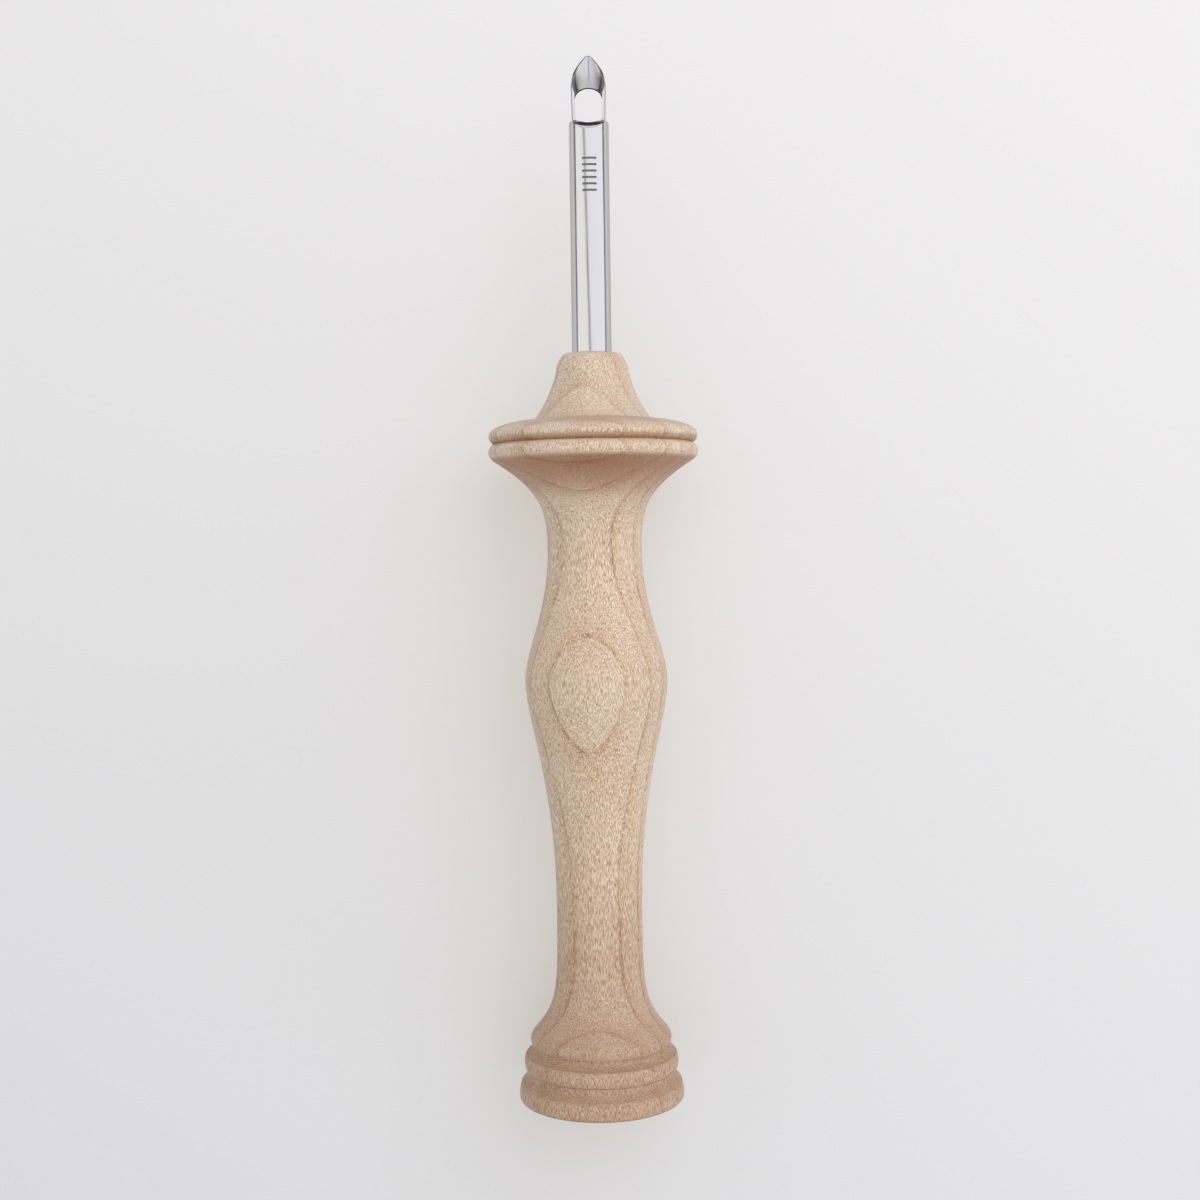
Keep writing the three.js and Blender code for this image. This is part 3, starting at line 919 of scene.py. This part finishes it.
def maple_material(scene):
    """Hard maple, turned and sanded fine, with a thin satin oil finish.

    To the eye it is pale and even, with thin brown growth lines, short dark flecks along
    the grain, darker end grain on the steep slopes, painted shade on the slopes facing the
    foot and in the coves and groove, a tint darker towards the foot, and a soft sheen."""
    look = scene.punch_wood
    material, tree = new_material("turned_hard_maple_satin_oil")
    # In millimetres, x runs across the tool, s from the foot end along its axis, and z up
    spot = tool_spot(tree, scene)
    x = add(tree, "ShaderNodeSeparateXYZ", spot)
    s, z = x.node.outputs["Y"], x.node.outputs["Z"]
    math_node, mix, map_range = "ShaderNodeMath", "ShaderNodeMix", "ShaderNodeMapRange"

    # The width, length and height of the specks in each pattern, in millimetres
    patterns = {}
    for name, speck, detail, roughness in (
        ("drift", (9, 24, 9), 2.0, 0.5),
        ("ragged", (0.5, 1.6, 0.5), 1.0, 0.5),
        ("grain", (0.09, 0.9, 0.09), 2.0, 0.6),
        ("cloud", (5, 22, 5), 3.0, 0.5),
        ("patch", (2.5, 6, 2.5), 2.0, 0.5),
    ):
        scaled = add(tree, "ShaderNodeMapping", spot, Scale=[1 / side for side in speck])
        noise = {"Scale": 1.0, "Detail": detail, "Roughness": roughness}
        patterns[name] = add(tree, "ShaderNodeTexNoise", scaled, **noise)

    # Growth rings: nearly flat sheets, which climb by 0.010 of the way along the tool. Across
    # it they lean by 0.03, and by 0.0018 more for each millimetre towards the needle
    lean = add(tree, math_node, s, 0.0018, 0.03, operation="MULTIPLY_ADD")
    lean = add(tree, math_node, x, lean, operation="MULTIPLY")
    climb = add(tree, math_node, s, 0.010, -0.84, operation="MULTIPLY_ADD")
    depth = add(tree, math_node, z, lean, operation="SUBTRACT")
    depth = add(tree, math_node, depth, climb, operation="SUBTRACT")
    for name, reach in (("drift", 0.5), ("ragged", 0.16)):
        depth = add(tree, math_node, patterns[name], reach, depth, operation="MULTIPLY_ADD")
    depth = add(tree, math_node, depth, 0.33, operation="SUBTRACT")
    # Late wood darkens over the 2.2 mm below each ring
    late_wood = add(tree, math_node, ring_ramp(tree, depth, 2.2, 0.1), 2.0, operation="POWER")
    late_wood = add(tree, math_node, late_wood, 0.75, operation="MULTIPLY")

    # Flecks along the grain, and bright fibres between them
    grain = patterns["grain"]
    fleck = add(tree, map_range, grain, 0.46, 0.66)
    fleck_share = add(tree, math_node, fleck, 0.85, operation="MULTIPLY")
    glint = add(tree, map_range, grain, 0.52, 0.34)
    glint = add(tree, math_node, glint, 0.85, operation="MULTIPLY")

    # Broad clouds of warmer and paler wood
    cloud = add(tree, map_range, patterns["cloud"], 0.38, 0.66, 0.0, 0.5)

    # The ring itself is a line of 0.33 mm, fainter on the nose and in the foot, between
    # flecks and in patches
    line = ring_ramp(tree, depth, 0.26, 0.07)
    for source, *ends in (
        (s, 92.0, 102.0, 1.0, 0.4), (s, 8.0, 13.0, 0.2),
        (grain, 0.35, 0.55, 0.35), (patterns["patch"], 0.42, 0.58, 0.25),
    ):
        line = add(tree, math_node, line, add(tree, map_range, source, *ends), operation="MULTIPLY")

    # End grain, where the surface turns along the axis, takes more oil, and the flat end of the foot less.
    # It is also painted shade: stronger on the slopes facing the foot than on those towards the needle
    normal = add(tree, "ShaderNodeTexCoord").node.outputs["Normal"]
    axis = (tool_place(scene).to_3x3() @ Vector((0, 1, 0)))[:]
    facing = add(tree, "ShaderNodeVectorMath", normal, axis, operation="DOT_PRODUCT")
    towards = add(tree, math_node, facing, 0.65, operation="MULTIPLY")
    away = add(tree, math_node, facing, -1.0, operation="MULTIPLY")
    end_grain_and_shade = add(tree, math_node, towards, away, operation="MAXIMUM")
    end_grain_and_shade = add(tree, map_range, end_grain_and_shade, 0.5, 0.86, 0.0, 0.85)
    sanded = add(tree, map_range, away, 0.93, 0.99, 1.0, 0.4)
    end_grain_and_shade = add(tree, math_node, end_grain_and_shade, sanded, operation="MULTIPLY")

    fresh = add(tree, map_range, s, 70.0, 88.0, interpolation_type="SMOOTHSTEP")
    base = add(tree, mix, fresh, look.pale, look.palest, data_type="RGBA")
    for amount, tone in (
        (cloud, look.warm), (late_wood, look.warm), (fleck_share, look.fleck),
        (glint, look.gloss), (line, look.line),
    ):
        base = add(tree, mix, amount, base, tone, data_type="RGBA")

    # The wood is tinted darker and browner towards the foot
    darker_to_foot = add(tree, map_range, s, 44.0, 9.0, interpolation_type="SMOOTHSTEP")
    stains_and_shade = [(end_grain_and_shade, look.end), (darker_to_foot, look.tan)]
    # Painted shade in the base's two coves and in the flange's groove
    for middle, reach, strength in ((3.5, 1.5, 0.45), (7.8, 1.1, 0.45), (100.6, 0.8, 0.9)):
        off = add(tree, math_node, s, middle, operation="SUBTRACT")
        off = add(tree, math_node, off, operation="ABSOLUTE")
        cove_shade = add(tree, map_range, off, reach, 0.2, 0.0, strength, interpolation_type="SMOOTHSTEP")
        stains_and_shade.append((cove_shade, look.cove))
    for amount, tone in stains_and_shade:
        base = add(tree, mix, amount, base, tone, data_type="RGBA", blend_type="MULTIPLY")

    rough = add(tree, map_range, grain, 0.3, 0.7, 0.42, 0.58)
    height = add(tree, math_node, fleck, -1.0, operation="MULTIPLY")
    bump = add(tree, "ShaderNodeBump", Height=height, Strength=0.35, Distance=0.02 * MM)
    surface = add(
        tree, "ShaderNodeBsdfPrincipled", Base_Color=base, Roughness=rough, Normal=bump,
        IOR=1.5, Coat_Weight=0.12, Coat_Roughness=0.28,
    )
    add(tree, "ShaderNodeOutputMaterial", surface)
    return material


def polished_material(scene):
    """Drawn stainless tube, machine polished along its length.

    To the eye it is a bright mirror, a little streaked along the tube, and dark where its
    sides turn away."""
    look = scene.punch_steel
    material, tree = new_material("polished_stainless_tube")
    spot = tool_spot(tree, scene)
    # Polishing lines are 0.05 mm apart on the real tube, and drawn 0.12 mm apart so that they show
    streak_spot = add(tree, "ShaderNodeMapping", spot, Scale=(1 / 0.12, 1 / 9, 1 / 0.12))
    streak = add(tree, "ShaderNodeTexNoise", streak_spot, Scale=1.0, Detail=3.0, Roughness=0.6)
    rough = add(tree, "ShaderNodeMapRange", streak, 0.3, 0.7, 0.08, 0.16)
    wave_spot = add(tree, "ShaderNodeMapping", spot, Scale=(1 / 3, 1 / 16, 1 / 3))
    wave = add(tree, "ShaderNodeTexNoise", wave_spot, Scale=1.0, Detail=2.0)
    height = add(tree, "ShaderNodeMath", streak, 0.02, wave, operation="MULTIPLY_ADD")
    bump = add(tree, "ShaderNodeBump", Height=height, Strength=0.4, Distance=0.06 * MM)
    surface = add(
        tree, "ShaderNodeBsdfPrincipled", Base_Color=look.steel, Metallic=1.0, Roughness=rough,
        Specular_Tint=look.edge, Normal=bump,
    )
    add(tree, "ShaderNodeOutputMaterial", surface)
    return material


def dull_steel(scene, name, tone, speck, smoothest, roughest):
    """Unpolished steel of one colour, with specks of a given size in millimetres."""
    material, tree = new_material(name)
    scale = [1 / side for side in speck]
    speck_spot = add(tree, "ShaderNodeMapping", tool_spot(tree, scene), Scale=scale)
    specks = add(tree, "ShaderNodeTexNoise", speck_spot, Scale=1.0, Detail=2.0)
    rough = add(tree, "ShaderNodeMapRange", specks, 0.0, 1.0, smoothest, roughest)
    surface = add(
        tree, "ShaderNodeBsdfPrincipled", Base_Color=tone, Metallic=1.0, Roughness=rough,
    )
    add(tree, "ShaderNodeOutputMaterial", surface)
    return material


def milled_shaded_edge_material(scene):
    """Milled stainless edges, left unpolished and dull, painted nearly black as the shade that they lie in
    beside the bright tube.
    """
    tone = scene.punch_steel.milled_shade
    return dull_steel(scene, "milled_stainless_edge_shaded", tone, (0.08, 0.08, 0.5), 0.4, 0.6)


def etching_material(scene):
    """Electro-etched stainless steel: a dull grey frosting on the polished tube."""
    tone = scene.punch_steel.etching
    return dull_steel(scene, "etched_stainless_mark", tone, (0.06, 0.06, 0.06), 0.45, 0.75)


def ground_shaded_material(scene):
    """Stainless steel ground hollow with a fine wheel.

    To the eye it is greyer than the polished tube, with painted shade in the corners by the eye
    and a painted dark reflection line along its middle."""
    look = scene.punch_steel
    material, tree = new_material("ground_stainless_hollow_shaded")
    spot = tool_spot(tree, scene)
    x = add(tree, "ShaderNodeSeparateXYZ", spot)
    s = x.node.outputs["Y"]
    math_node, map_range, mix = "ShaderNodeMath", "ShaderNodeMapRange", "ShaderNodeMix"
    easing = {"interpolation_type": "SMOOTHSTEP"}
    tip = tip_place(scene) / MM

    # Painted shade in the corners by the eye, which stops short of the point's outer edge
    off = add(tree, math_node, x, -0.1, operation="SUBTRACT")
    off = add(tree, math_node, off, operation="ABSOLUTE")
    corner = add(tree, map_range, off, 0.7, 2.0, **easing)
    outside = add(tree, math_node, x, operation="ABSOLUTE")
    for fade in (
        add(tree, map_range, outside, 2.45, 2.05, **easing),
        add(tree, map_range, s, tip - 1.8, tip - 4.2, **easing),
    ):
        corner = add(tree, math_node, corner, fade, operation="MULTIPLY")
    tone = add(tree, mix, corner, look.ground, look.corner_shade, data_type="RGBA")

    # A painted dark reflection line along the middle, 0.26 mm wide, which fades out towards the eye
    off = add(tree, math_node, x, 0.1, operation="SUBTRACT")
    off = add(tree, math_node, off, operation="ABSOLUTE")
    line = add(tree, map_range, off, 0.13, 0.03)
    front = add(tree, map_range, s, tip - 4.3, tip - 3.2)
    line = add(tree, math_node, line, front, operation="MULTIPLY")
    tone = add(tree, mix, line, tone, look.centre_reflection, data_type="RGBA")

    streak_spot = add(tree, "ShaderNodeMapping", spot, Scale=(1 / 0.12, 1 / 2, 1 / 0.12))
    streak = add(tree, "ShaderNodeTexNoise", streak_spot, Scale=1.0, Detail=3.0)
    rough = add(tree, map_range, streak, 0.3, 0.7, 0.14, 0.26)
    bump = add(tree, "ShaderNodeBump", Height=streak, Strength=0.3, Distance=0.01 * MM)
    surface = add(
        tree, "ShaderNodeBsdfPrincipled", Base_Color=tone, Metallic=1.0, Roughness=rough, Normal=bump,
    )
    add(tree, "ShaderNodeOutputMaterial", surface)
    return material


def glue_material(scene):
    """Clear epoxy, cured slightly amber: glossy and a little cloudy."""
    material, tree = new_material("cured_clear_epoxy")
    haze = add(tree, "ShaderNodeTexNoise", tool_spot(tree, scene), Scale=1.5, Detail=2.0)
    rough = add(tree, "ShaderNodeMapRange", haze, 0.0, 1.0, 0.15, 0.4)
    surface = add(
        tree, "ShaderNodeBsdfPrincipled", Base_Color=scene.punch_steel.glue, Roughness=rough, IOR=1.55,
        Subsurface_Weight=0.2, Subsurface_Scale=0.3 * MM,
    )
    add(tree, "ShaderNodeOutputMaterial", surface)
    return material


def tick_tree(material):
    """Geometry nodes that set a row of curved ticks on the needle's closed side."""
    lengths = ("Spacing", "Width", "Span", "First", "Radius", "Thickness")
    tree, given = new_tree("Etched ticks", lengths, "Ticks")
    math_node, combine = "ShaderNodeMath", "ShaderNodeCombineXYZ"

    step = add(tree, math_node, given["Spacing"], -1.0, operation="MULTIPLY")
    offset = add(tree, combine, 0.0, step, 0.0)
    start = add(tree, combine, 0.0, given["First"], 0.0)
    row = add(tree, "GeometryNodeMeshLine", Count=given["Ticks"], Start_Location=start, Offset=offset)
    size = add(tree, combine, given["Span"], given["Width"], given["Thickness"])
    bar = add(tree, "GeometryNodeMeshCube", size, 25, 3, 2)

    # Each bar is bent round the needle
    across = add(tree, "ShaderNodeSeparateXYZ", add(tree, "GeometryNodeInputPosition"))
    along, up = across.node.outputs["Y"], across.node.outputs["Z"]
    turn = add(tree, math_node, across, given["Radius"], operation="DIVIDE")
    reach = add(tree, math_node, up, given["Radius"], operation="ADD")
    sine, cosine = (add(tree, math_node, turn, operation=part) for part in ("SINE", "COSINE"))
    spot = add(tree, combine, sine, 0.0, cosine)
    spot = add(tree, "ShaderNodeVectorMath", spot, Scale=reach, operation="SCALE")
    along = add(tree, combine, 0.0, along, 0.0)
    spot = add(tree, "ShaderNodeVectorMath", spot, along, operation="ADD")
    tick = add(tree, "GeometryNodeSetPosition", bar, Position=spot)
    return end_tree(tree, add(tree, "GeometryNodeInstanceOnPoints", row, Instance=tick), material)


class PUNCH_OT_etch_marks(bpy.types.Operator):
    """Etches a plain row of ticks on the needle"""
    bl_idname = "punch.etch_marks"
    bl_label = "Etch the marks"

    def execute(self, context):
        scene = context.scene
        needle, marks = scene.punch_needle, scene.punch_marks
        tree = tick_tree(etching_material(scene))
        base = bpy.data.objects.new("tick_row", bpy.data.meshes.new("tick_row"))
        scene.collection.objects.link(base)
        values = {
            "Spacing": marks.spacing,
            "Width": marks.width,
            "Span": marks.span,
            "First": tip_place(scene) - marks.first,
            "Radius": needle.radius + marks.proud - marks.thickness / 2,
            "Thickness": marks.thickness,
            "Ticks": marks.ticks,
        }
        mesh = apply_tree(base, tree, values, "etched_ticks")
        bpy.data.objects.remove(base)
        mesh.transform(tool_place(scene))
        mesh.shade_smooth()
        finished("etched_ticks", mesh, None)
        return {"FINISHED"}


def softbox(name, place_at, size, power, tone):
    """Adds a soft lamp that looks at the middle of the table."""
    data = bpy.data.lights.new(name, "AREA")
    data.shape = "RECTANGLE"
    data.size, data.size_y = size
    data.energy = power
    data.color = linear_colour(tone)
    lamp = bpy.data.objects.new(name, data)
    bpy.context.scene.collection.objects.link(lamp)
    lamp.location = place_at
    lamp.rotation_euler = (-Vector(place_at)).to_track_quat("-Z", "Y").to_euler()
    return lamp


def light_tent():
    """A pale tent round the table: a bright panel overhead, a dark foot and a seam of two sheets."""
    world = bpy.data.worlds.new("light_tent")
    world.use_nodes = True
    tree = world.node_tree
    tree.nodes.clear()
    math_node, map_range, vector_node = "ShaderNodeMath", "ShaderNodeMapRange", "ShaderNodeVectorMath"
    easing = {"interpolation_type": "SMOOTHSTEP"}
    way = add(tree, "ShaderNodeTexCoord")
    across = add(tree, "ShaderNodeSeparateXYZ", way)
    along, up = across.node.outputs["Y"], across.node.outputs["Z"]

    # The foot is dark, and more of it in front of the tool
    ahead = add(tree, math_node, along, 0.0, operation="MAXIMUM")
    ahead = add(tree, math_node, ahead, ahead, operation="MULTIPLY")
    dark_top = add(tree, math_node, ahead, 0.62, operation="MULTIPLY")
    light_bottom = add(tree, math_node, dark_top, 0.1, operation="ADD")
    lift = add(tree, map_range, up, dark_top, light_bottom, 0.05, 1.0, **easing)
    slope = add(tree, vector_node, way, (0.02, 0.22, 0.0), operation="DOT_PRODUCT")
    slope = add(tree, math_node, slope, 0.79, operation="ADD")
    off = add(tree, math_node, along, 0.13, operation="SUBTRACT")
    off = add(tree, math_node, off, operation="ABSOLUTE")
    panel = add(tree, map_range, off, 0.13, 0.22, 1.5, 1.0, **easing)

    # The seam runs across the tool. Further ahead the two sheets meet over its middle instead
    from_seam = add(tree, vector_node, way, (-0.363, -0.932, 0.0124), operation="DOT_PRODUCT")
    seam = add(tree, math_node, from_seam, operation="ABSOLUTE")
    seam = add(tree, map_range, seam, 0.015, 0.042, 0.25, 1.0)
    beyond = add(tree, map_range, along, 0.25, 0.28)
    fold = add(tree, math_node, across, 0.005, operation="SUBTRACT")
    fold = add(tree, math_node, fold, operation="ABSOLUTE")
    fold = add(tree, map_range, fold, 0.006, 0.02, 0.55, 0.0)
    fold = add(tree, math_node, fold, beyond, operation="MULTIPLY")
    fold = add(tree, math_node, 1.0, fold, operation="SUBTRACT")
    level = lift
    for part in (slope, panel, seam, fold):
        level = add(tree, math_node, level, part, operation="MULTIPLY")

    side = add(tree, map_range, from_seam, -0.01, 0.01)
    left = add(tree, map_range, across, -0.005, 0.015)
    left = add(tree, math_node, left, beyond, operation="MULTIPLY")
    side = add(tree, math_node, side, left, operation="MAXIMUM")
    cool, warm = linear_colour("#fbfaff"), linear_colour("#fffef9")
    tone = add(tree, "ShaderNodeMix", side, cool, warm, data_type="RGBA")
    add(tree, "ShaderNodeOutputWorld", add(tree, "ShaderNodeBackground", tone, level))
    return world


def panel_material(setup):
    """Opal acrylic over a light panel: matt white, with pale soft shadows.

    Half of what the camera and the mirror-like surfaces see is the panel's own light. It
    lights the tool as a plain white board would."""
    material, tree = new_material("backlit_matt_opal_acrylic")
    where = add(tree, "ShaderNodeTexCoord").node.outputs["Object"]
    tooth = add(tree, "ShaderNodeTexNoise", where, Scale=900.0, Detail=2.0)
    bump = add(tree, "ShaderNodeBump", Height=tooth, Strength=0.03, Distance=0.1 * MM)
    matt = {"Roughness": 0.85, "Normal": bump}
    board = add(tree, "ShaderNodeBsdfPrincipled", Base_Color=setup.board, **matt)
    # The panel's light is painted brighter towards the right and the far end, a pool of light falling off
    # across the table
    rise = add(tree, "ShaderNodeVectorMath", where, (0.3, 0.5, 0.0), operation="DOT_PRODUCT")
    glow = add(tree, "ShaderNodeMapRange", rise, -0.12, 0.12, setup.glow - 0.12, setup.glow + 0.12)
    # The panel's warm light and the opal's cool colour add up to neutral on the open floor and leave the
    # tool's shadow painted warm
    opal = add(
        tree, "ShaderNodeBsdfPrincipled", Base_Color=setup.opal,
        Emission_Color=setup.panel, Emission_Strength=glow, **matt,
    )
    ray = add(tree, "ShaderNodeLightPath").node.outputs
    seen = ray["Is Camera Ray"]
    for other in (ray["Is Glossy Ray"], ray["Is Transmission Ray"]):
        seen = add(tree, "ShaderNodeMath", seen, other, operation="MAXIMUM")
    surface = add(tree, "ShaderNodeMixShader", seen, board, opal)
    add(tree, "ShaderNodeOutputMaterial", surface)
    return material


def table_material(setup):
    """Grey laminate under the panel, outside the picture."""
    material, tree = new_material("matt_grey_laminate")
    where = add(tree, "ShaderNodeTexCoord").node.outputs["Object"]
    tooth = add(tree, "ShaderNodeTexNoise", where, Scale=400.0, Detail=2.0)
    rough = add(tree, "ShaderNodeMapRange", tooth, 0.0, 1.0, 0.5, 0.8)
    surface = add(tree, "ShaderNodeBsdfPrincipled", Base_Color=setup.table, Roughness=rough)
    add(tree, "ShaderNodeOutputMaterial", surface)
    return material


class PUNCH_OT_set_stage(bpy.types.Operator):
    """Lays the pale table and sets up the lights and the camera"""
    bl_idname = "punch.set_stage"
    bl_label = "Set the stage"

    def execute(self, context):
        scene = context.scene
        setup = scene.punch_stage
        for name, radius, height, material in (
            ("light_panel", 0.15, 0.0, panel_material(setup)),
            ("table_top", 2.5, -0.002, table_material(setup)),
        ):
            work = bmesh.new()
            bmesh.ops.create_circle(work, cap_ends=True, segments=DISC_SIDES, radius=radius)
            mesh = bpy.data.meshes.new(name)
            work.to_mesh(mesh)
            work.free()
            mesh.transform(Matrix.Translation((0, 0, height)))
            mesh.materials.append(material)
            disc = bpy.data.objects.new(name, mesh)
            scene.collection.objects.link(disc)

        key = softbox("key_softbox", (0.36, 0.5, 0.6), (0.9, 0.9), 3.6, "#f4f5ff")
        fill = softbox("fill_softbox", (0.46, -0.24, 0.14), (0.3, 0.2), 0.3, "#eef2ff")
        for lamp in (key, fill):
            lamp.visible_glossy = False
        scene.world = light_tent()

        camera_data = bpy.data.cameras.new("photo_camera")
        camera_data.angle = 2 * math.atan(setup.photo_pixels / 2 / setup.focal_pixels)
        camera = bpy.data.objects.new("photo_camera", camera_data)
        scene.collection.objects.link(camera)
        camera.location = (setup.camera_right, setup.camera_along, setup.camera_height)
        camera.rotation_euler = (0, 0, -setup.roll)
        scene.camera = camera
        scene.view_settings.view_transform = "Standard"
        return {"FINISHED"}


class PUNCH_PT_tool(bpy.types.Panel):
    """Lists the steps that build the punch needle"""
    bl_label = "Punch needle"
    bl_idname = "PUNCH_PT_tool"
    bl_space_type = "VIEW_3D"
    bl_region_type = "UI"
    bl_category = "Punch needle"

    def draw(self, context):
        column = self.layout.column()
        for operator in OPERATORS:
            column.operator(operator.bl_idname)
        for name in GROUPS:
            group = getattr(context.scene, name)
            box = self.layout.box()
            for key in group.__annotations__:
                box.prop(group, key)


GROUPS = {
    "punch_handle": HandleSizes,
    "punch_needle": NeedleSizes,
    "punch_glue": GlueSizes,
    "punch_marks": MarkSizes,
    "punch_wood": WoodLook,
    "punch_steel": SteelLook,
    "punch_stage": StageSetup,
}
OPERATORS = (
    PUNCH_OT_turn_handle,
    PUNCH_OT_mill_needle,
    PUNCH_OT_fill_glue,
    PUNCH_OT_etch_marks,
    PUNCH_OT_set_stage,
)


def register():
    for group in GROUPS.values():
        bpy.utils.register_class(group)
    for name, group in GROUPS.items():
        setattr(bpy.types.Scene, name, bpy.props.PointerProperty(type=group))
    for part in (*OPERATORS, PUNCH_PT_tool):
        bpy.utils.register_class(part)


def unregister():
    for part in (PUNCH_PT_tool, *reversed(OPERATORS)):
        bpy.utils.unregister_class(part)
    for name in GROUPS:
        delattr(bpy.types.Scene, name)
    for group in reversed(list(GROUPS.values())):
        bpy.utils.unregister_class(group)


def main():
    register()
    for step in ("turn_handle", "mill_needle", "fill_glue", "etch_marks", "set_stage"):
        getattr(bpy.ops.punch, step)()


if __name__ == "__main__":
    main()
